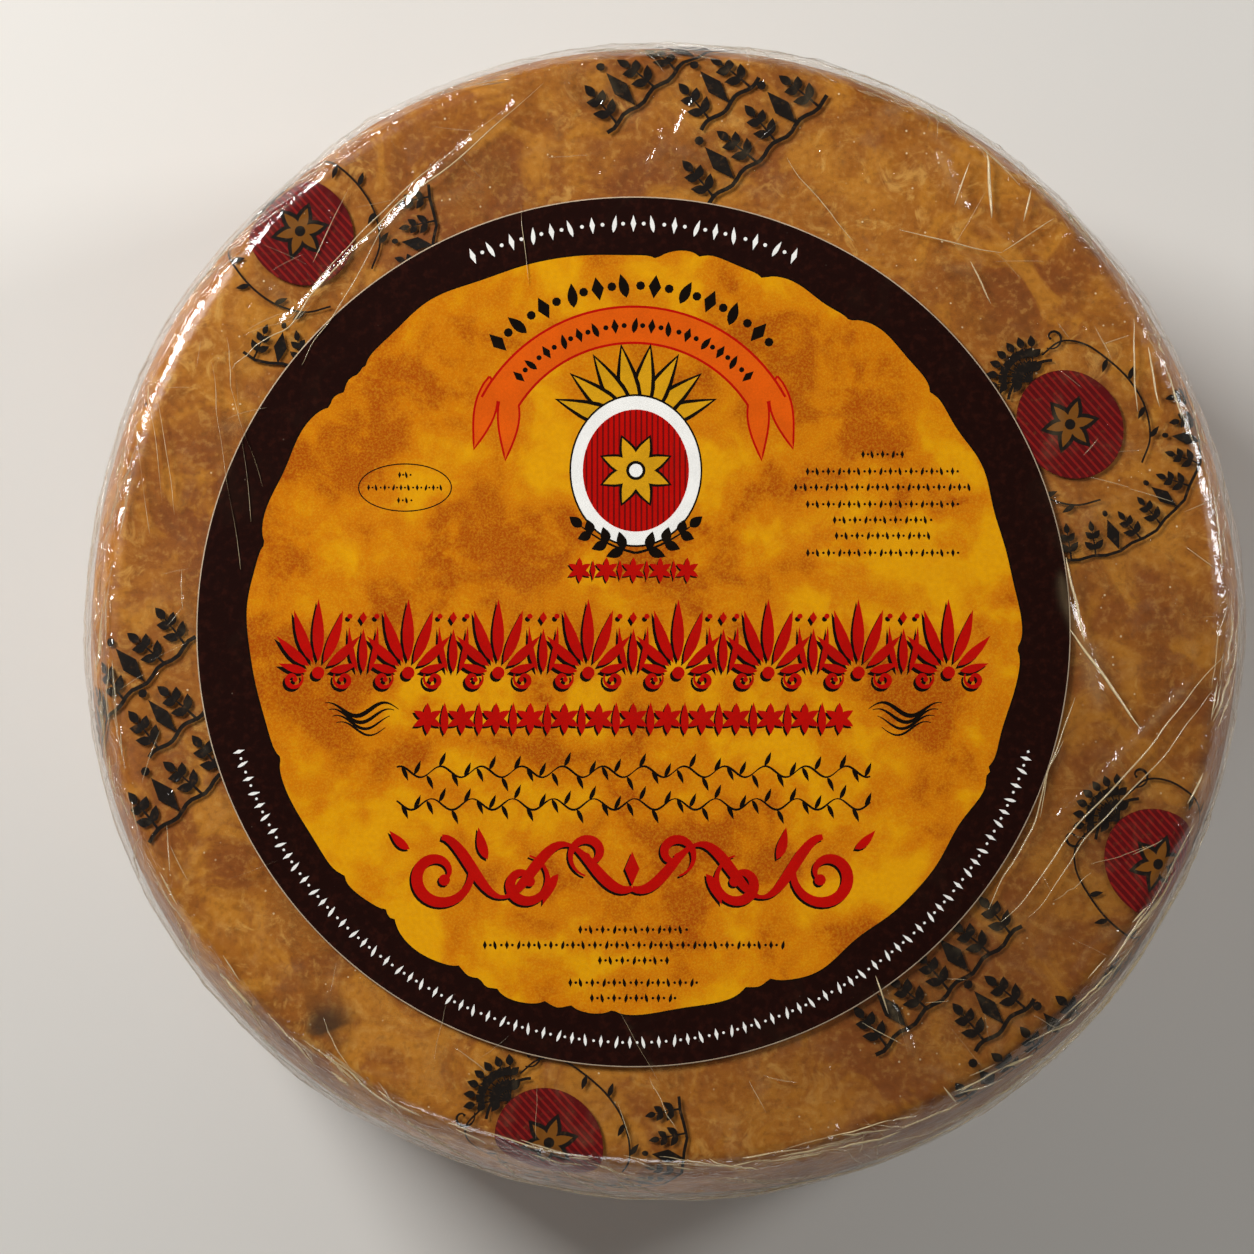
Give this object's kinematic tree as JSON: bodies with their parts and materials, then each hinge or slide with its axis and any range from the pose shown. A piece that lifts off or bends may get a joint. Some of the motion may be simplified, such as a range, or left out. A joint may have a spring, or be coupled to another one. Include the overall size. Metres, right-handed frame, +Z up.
{
  "type": "cheese wheel",
  "caption": "Aged cheese wheel in a printed clear wrap, with a round paper label on its top face and a clear vacuum pouch drawn tight over all of it.",
  "frame": {"origin": "on the surface that the wheel lies on, under the middle of its bounding box", "axes": "+Z up through the wheel's thickness, +Y towards the top edge of the label, +X to the label's right"},
  "size_m": [0.1974, 0.1974, 0.09],
  "materials": {
    "rind": "satin",
    "printed_film": "gloss",
    "label_paper": "satin",
    "clear_film": "gloss"
  },
  "bodies": {
    "root": {"cheese": "rind", "printed_wrap": "printed_film", "label": "label_paper", "vacuum_pouch": "clear_film"}
  },
  "joints": []
}
